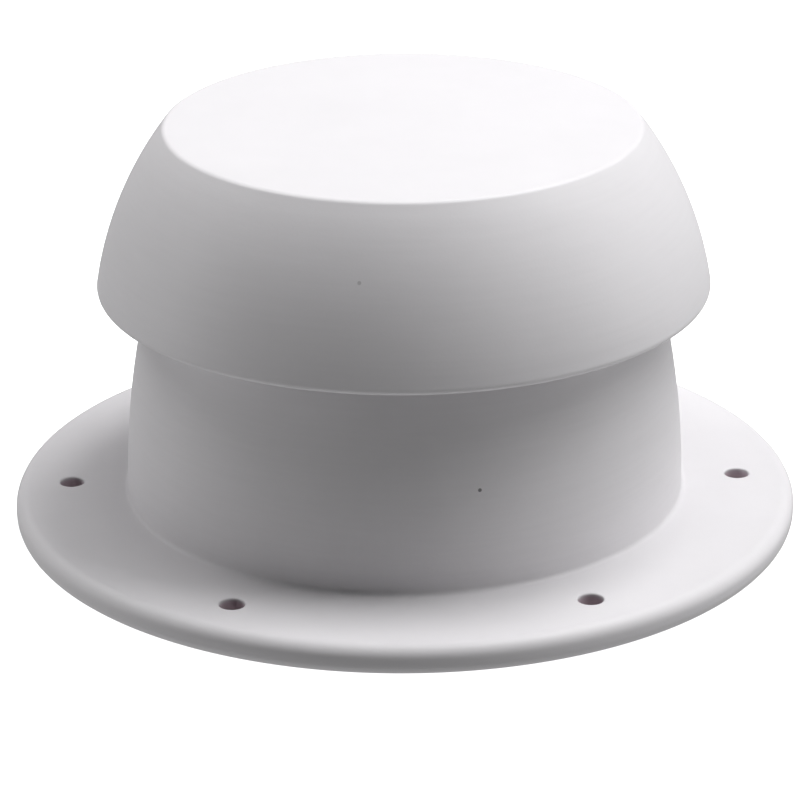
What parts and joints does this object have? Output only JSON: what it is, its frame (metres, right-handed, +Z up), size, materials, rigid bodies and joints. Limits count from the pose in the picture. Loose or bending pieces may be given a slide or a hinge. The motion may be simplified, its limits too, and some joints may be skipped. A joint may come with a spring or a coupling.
{
  "type": "mushroom deck vent",
  "caption": "Round screw-down mushroom ventilator for a boat deck: flanged tapered neck under a shallow flat-topped cap that a knob below raises and shuts.",
  "frame": {"origin": "centre of the flange's underside, where the vent rests on the deck", "axes": "+Z up along the neck and the spindle; -Y is the side towards the viewer; a line through two opposite deck holes lies about one degree off X"},
  "size_m": [0.155, 0.155, 0.0802],
  "materials": {
    "white_plastic": "fine satin moulded surface",
    "knob_plastic": "satin moulded surface",
    "bush_plastic": "natural low-friction plastic, smooth",
    "black_rubber": "matt moulded rubber",
    "stainless": "turned and brushed",
    "wire_cloth": "woven stainless wire",
    "brass": "machined"
  },
  "bodies": {
    "base": {"deck_base": "white_plastic", "deck_gasket": "black_rubber", "spider_bridge": "white_plastic", "bridge_screw_1": "stainless", "bridge_screw_2": "stainless", "bridge_screw_3": "stainless", "hub_bush": "bush_plastic", "guide_bush_1": "bush_plastic", "guide_bush_2": "bush_plastic", "guide_bush_3": "bush_plastic", "insect_screen": "wire_cloth", "screen_ring": "white_plastic"},
    "cap": {"cap_shell": "white_plastic", "closing_plate": "white_plastic", "plate_screw_1": "stainless", "plate_screw_2": "stainless", "plate_screw_3": "stainless", "closing_seal": "black_rubber", "threaded_insert": "brass", "guide_post_1": "stainless", "guide_post_2": "stainless", "guide_post_3": "stainless"},
    "drive": {"spindle": "stainless", "knob": "knob_plastic", "knob_screw": "stainless", "lower_thrust_washer": "bush_plastic", "upper_thrust_washer": "bush_plastic", "circlip": "stainless"}
  },
  "joints": [
    {"name": "cap_close", "type": "slide", "parent": "base", "child": "cap", "axis": [0, 0, -1], "range_m": [0, 0.01]},
    {"name": "knob_turn", "type": "hinge", "parent": "base", "child": "drive", "pos_m": [0, 0, 0.0386], "axis": [0, 0, 1], "range_deg": [0, 900]}
  ],
  "couplings": [
    {"joint": "knob_turn", "follows": "cap_close", "rad_per_m": 1570.8}
  ]
}
